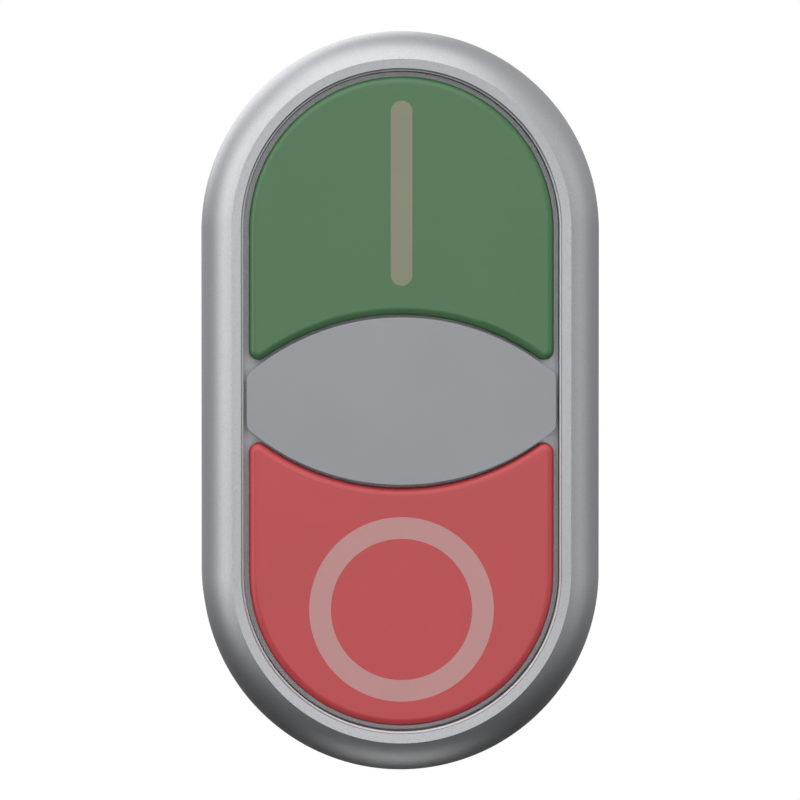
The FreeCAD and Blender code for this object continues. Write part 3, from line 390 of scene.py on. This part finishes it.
# the outside: the side with its draft, the dome, the land, and the rounded lip of the opening
bezel = oval("bezel_ring", BEZEL_RADIUS)
side = (DRAFT - REAR_BREAK_IN, SIDE_TALL - REAR_BREAK_UP)
terrace((REAR_BREAK_IN, REAR_BREAK_UP), side)
terrace(*dome_steps(DOME_WIDE, DOME_TALL, DOME_COUNT, DOME_SPAN))
terrace((LAND - LIP_ROUND, -LAND_DROP))
rounding = dome_steps(LIP_ROUND, LIP_ROUND, LIP_COUNT, LIP_SPAN)
terrace(*[(up, -inwards) for inwards, up in reversed(rounding)])
crest = BEZEL_REAR - SIDE_TALL - DOME_TALL
terrace((0, -(LEDGE - crest - LAND_DROP - LIP_ROUND)))
bpy.ops.mesh.delete(type="FACE")

# the lining: the inner wall, its chamfer, and the ledge that comes in to the opening
inner = BEZEL_RADIUS - BEZEL_WALL
opening = BEZEL_RADIUS - DRAFT - DOME_WIDE - LAND
lining = oval("bezel_lining", inner)
terrace((0, BEZEL_REAR - LEDGE - LIP_CHAMFER), (LIP_CHAMFER, LIP_CHAMFER))
terrace((inner - LIP_CHAMFER - opening, 0))
bpy.ops.mesh.delete(type="FACE")
only(bezel, lining)
bpy.ops.object.join()
for depth in (BEZEL_REAR, LEDGE):
    pick(bezel, "EDGE", lambda a, b: False)
    bpy.ops.mesh.select_non_manifold()
    bpy.ops.object.mode_set(mode="OBJECT")
    mesh = bezel.data
    for edge in mesh.edges:
        ends = [mesh.vertices[i].co.y / MM for i in edge.vertices]
        edge.select = edge.select and all(abs(end - depth) < SEAM for end in ends)
    bpy.ops.object.mode_set(mode="EDIT")
    bpy.ops.mesh.select_mode(type="EDGE")
    bpy.ops.mesh.bridge_edge_loops()
clean(bezel, BEZEL_SMOOTH)

# satin silver: fine flake under a soft skin, so light spreads over the dome without a hard line
FLAKE = 0.07
lacquer, tree, shader, place = begin_material(
    "satin_silver_coat", "#C9CACD", Metallic=1.0, Roughness=0.46
)
flakes = add_node(tree, "ShaderNodeTexVoronoi", {"Vector": place}, {"Scale": 1 / (FLAKE * MM)})
vary(tree, flakes.outputs["Distance"], 0.4, 0.54, shader.inputs["Roughness"])
stain(tree, flakes.outputs["Distance"], "#CFD0D3", "#BFC0C3", shader)
grain(tree, place, shader, cell=0.5, relief=0.004)
place_piece(bezel, "head", lacquer, "bezel")

# ---------------------------------------------------------------- fixing adapter and latch
# The frame that grips the shank from behind the panel and carries the blocks, moulded in black
# polyamide, with its grey sliding latch. Every corner of a moulding is a little rounded.
ADAPTER_ROUND = 0.15
SMALL_ROUND = 0.12
FLAT_WITHIN = 1
SHARP_ABOVE = 40
MOULDING_SMOOTH = 30


def round_edges(piece, width):
    """Rounds every sharp edge."""
    only(piece)
    modifier = piece.modifiers.new("rounds", "BEVEL")
    modifier.width = width * MM
    modifier.segments = 2
    modifier.limit_method = "ANGLE"
    modifier.angle_limit = math.radians(SHARP_ABOVE)
    modifier.use_clamp_overlap = False
    bpy.ops.object.modifier_apply(modifier="rounds")


def soften_moulding(name, width, body, material):
    """A moulding of its own from a CAD node, with the small rounds that its tool leaves."""
    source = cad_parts[name]
    piece = bpy.data.objects.new(f"{name}_moulding", source.data.copy())
    bpy.context.scene.collection.objects.link(piece)
    clean(piece, MOULDING_SMOOTH)
    pick(piece, "FACE", lambda at, normal: True)
    bpy.ops.mesh.dissolve_limited(angle_limit=math.radians(FLAT_WITHIN))
    bpy.ops.object.mode_set(mode="OBJECT")
    round_edges(piece, width)
    clean(piece, MOULDING_SMOOTH)
    place_piece(piece, body, material, name)


# black polyamide: darker and a shade glossier than the head's nylon
polyamide = moulding(
    "black_polyamide", "#26272A", "#1D1E20", roughness=0.5, cell=0.22, relief=0.012
)
soften_moulding("adapter_frame", ADAPTER_ROUND, "adapter", polyamide)
# light grey polyester: an even, satin grey
polyester = moulding(
    "light_grey_polyester", "#A9ABAB", "#A0A2A2", roughness=0.48, cell=0.25, relief=0.01
)
soften_moulding("latch", SMALL_ROUND, "latch", polyester)

# ---------------------------------------------------------------- screws, saddles and feet
# The clamp screws with their feet, and each terminal's saddle and screw: cold-headed or stamped
# steel, zinc plated in a barrel, so the plating has a faint bluish cast and is never even.
BLOCKS = (*CONTACT_BLOCKS, "lamp")

# bright zinc: cool silver, clouded from one patch to the next
zinc = bare_metal(
    "bright_zinc_plate",
    "#BFC2C6",
    pale="#C9CCD1",
    dark="#A8ABB3",
    size=0.9,
    detail=5.0,
    smooth=0.26,
    rough=0.46,
    Roughness=0.34,
)
for end in ("upper", "lower"):
    dress(f"clamp_foot_{end}", zinc)
    dress(f"clamp_screw_{end}", zinc)
    for block in BLOCKS:
        dress(f"{block}_saddle_{end}", zinc)
        dress(f"{block}_screw_{end}", zinc)

# ---------------------------------------------------------------- blocks
# The make block, the break block and the lamp block: a light grey polyester housing that is clipped
# on the adapter's rails, and a smoky clear cover that is welded on its open side.
COVER_ROUND = 0.1

# smoky polycarbonate: grey glass, half see-through, so what is inside only shows dimly
smoke = moulding(
    "smoky_polycarbonate",
    "#8E9294",
    "#85898B",
    roughness=0.16,
    cell=0.5,
    relief=0.002,
    Transmission_Weight=0.75,
    IOR=POLYCARBONATE_IOR,
)
for block in BLOCKS:
    soften_moulding(f"{block}_housing", SMALL_ROUND, "adapter", polyester)
    soften_moulding(f"{block}_cover", COVER_ROUND, "adapter", smoke)

# rolled brass strip: yellow, with a dull tarnish in places
brass = bare_metal(
    "rolled_brass_strip",
    "#C6A35B",
    pale="#CFAE68",
    dark="#A5854A",
    size=1.2,
    detail=5.0,
    smooth=0.24,
    rough=0.44,
    Roughness=0.32,
)
for block in BLOCKS:
    dress(f"{block}_fixed_contacts", brass)
for block in CONTACT_BLOCKS:
    dress(f"{block}_bridge", brass)
# the plungers' colour tells the two blocks apart: green for make, red for break
PLUNGER_FINISHES = {
    "make": ("green_acetal", "#3F7A4B", "#386E44"),
    "brk": ("red_acetal", "#B23A38", "#A53432"),
}
for block in CONTACT_BLOCKS:
    dyed = moulding(*PLUNGER_FINISHES[block], roughness=0.4, cell=0.2, relief=0.005)
    dress(f"{block}_plunger", dyed)

# ---------------------------------------------------------------- lamp board
# The lamp block's circuit board of woven glass and epoxy under green solder resist, with its film
# resistors and the diffuse emitter that lights the lens.
WEAVE = 3.2
BAND_PITCH = 9
BAND_EDGE = (0.78, 0.82)

# solder resist: glossy green, with the weave of the glass showing faintly through it
board, tree, shader, place = begin_material("green_solder_resist", "#1F6B43", Roughness=0.34)
weave = add_node(
    tree,
    "ShaderNodeTexWave",
    {"Vector": place},
    {"Scale": 1 / (WEAVE * MM), "Distortion": 1.5, "Detail": 2.0},
    bands_direction="DIAGONAL",
)
stain(tree, weave.outputs["Fac"], "#23734A", "#1A5C39", shader)
vary(tree, weave.outputs["Fac"], 0.28, 0.42, shader.inputs["Roughness"])
dress("lamp_board", board)
# resistor lacquer: beige, with brown bands across the body
resistor_coat, tree, shader, place = begin_material(
    "beige_resistor_lacquer", "#CDB78C", Roughness=0.4
)
rings = add_node(
    tree,
    "ShaderNodeTexWave",
    {"Vector": place},
    {"Scale": 1 / (BAND_PITCH * MM), "Distortion": 0.0},
    bands_direction="Z",
)
bands = add_node(
    tree,
    "ShaderNodeMapRange",
    {"Value": rings.outputs["Fac"]},
    {"From Min": BAND_EDGE[0], "From Max": BAND_EDGE[1]},
)
stain(tree, bands.outputs["Result"], "#CDB78C", "#6B3D22", shader)
dress("lamp_resistors", resistor_coat)
# diffuse epoxy: milky white resin that glows a little at its edges
epoxy = moulding(
    "milky_epoxy",
    "#E6E4DA",
    "#DAD8CE",
    roughness=0.3,
    cell=0.3,
    relief=0.003,
    Subsurface_Weight=0.5,
)
let_light_in(epoxy, 1)
dress("lamp_emitter", epoxy)

# ---------------------------------------------------------------- floor and light
# A small pale floor well below the object, soft boxes all round it, and a white surround that gives
# less light from below.
FLOOR_RADIUS = 130
FLOOR_HEIGHT = -400

floor = disc("studio_floor", FLOOR_RADIUS, 0, 96)
pick(floor, "VERT", lambda at: True)
bpy.ops.transform.rotate(value=math.radians(90), orient_axis="X", center_override=(0, 0, 0))
bpy.ops.transform.translate(value=(0, 0, FLOOR_HEIGHT * MM))
bpy.ops.object.mode_set(mode="OBJECT")
# floor paint: plain, pale and dead matt
paint = begin_material("pale_floor", "#E6E6E4", Roughness=0.9)[0]
floor.data.materials.append(paint)


def soft_box(name, direction, distance, width, height, watts):
    """A rectangular light, in metres, that looks at the object from a direction."""
    lamp = bpy.data.lights.new(name, "AREA")
    lamp.shape = "RECTANGLE"
    lamp.size = width
    lamp.size_y = height
    lamp.energy = watts
    stand = bpy.data.objects.new(name, lamp)
    bpy.context.scene.collection.objects.link(stand)
    stand.location = Vector(direction).normalized() * distance
    stand.rotation_euler = (-Vector(direction)).to_track_quat("-Z", "Y").to_euler()


soft_box("top_box", (-0.15, -0.6, 1.0), distance=0.9, width=1.1, height=0.9, watts=3.4)
soft_box("left_box", (-1.0, -0.55, 0.2), distance=0.9, width=0.6, height=0.9, watts=2.2)
soft_box("right_box", (1.0, -0.35, 0.1), distance=0.9, width=0.5, height=0.9, watts=0.7)
soft_box("rear_box", (-0.5, 1.0, 0.7), distance=1.2, width=1.2, height=1.0, watts=4.5)
soft_box("front_fill", (0.1, -1.0, 0.15), distance=1.3, width=1.0, height=1.0, watts=3.0)

world = bpy.data.worlds.new("white_surround")
world.use_nodes = True
tree = world.node_tree
seen = tree.nodes["Background"]
seen.inputs["Color"].default_value = (1, 1, 1, 1)
heading = add_node(tree, "ShaderNodeTexCoord").outputs["Generated"]
height = add_node(tree, "ShaderNodeSeparateXYZ", {"Vector": heading}).outputs["Z"]
strength = add_node(
    tree,
    "ShaderNodeMapRange",
    {"Value": height},
    {"From Min": -0.5, "From Max": 0.3, "To Min": 0.04, "To Max": 0.5},
)
lit = add_node(
    tree,
    "ShaderNodeBackground",
    {"Strength": strength.outputs["Result"]},
    {"Color": (1, 1, 1, 1)},
)
path = add_node(tree, "ShaderNodeLightPath")
mixed = add_node(tree, "ShaderNodeMixShader", {"Fac": path.outputs["Is Camera Ray"]})
tree.links.new(lit.outputs[0], mixed.inputs[1])
tree.links.new(seen.outputs[0], mixed.inputs[2])
tree.links.new(mixed.outputs[0], tree.nodes["World Output"].inputs["Surface"])
bpy.context.scene.world = world
bpy.context.scene.view_settings.view_transform = "Standard"

# ---------------------------------------------------------------- camera
# Straight in front of the object, and a very little to its left and above it.
FOCAL_LENGTH = 199.7
SENSOR = 36.0
DISTANCE = 0.33
ASKEW = math.radians(1.1)
AIM = Vector((0.0, -0.005, 0.0))

camera = bpy.data.cameras.new("front_camera")
camera.lens = FOCAL_LENGTH
camera.sensor_width = SENSOR
camera.clip_start = 0.01
camera.clip_end = 20
tripod = bpy.data.objects.new("front_camera", camera)
bpy.context.scene.collection.objects.link(tripod)
towards = Vector(
    (-math.sin(ASKEW) * math.cos(ASKEW), -math.cos(ASKEW) * math.cos(ASKEW), math.sin(ASKEW))
)
tripod.location = AIM + towards * DISTANCE
tripod.rotation_euler = (-towards).to_track_quat("-Z", "Y").to_euler()
bpy.context.scene.camera = tripod
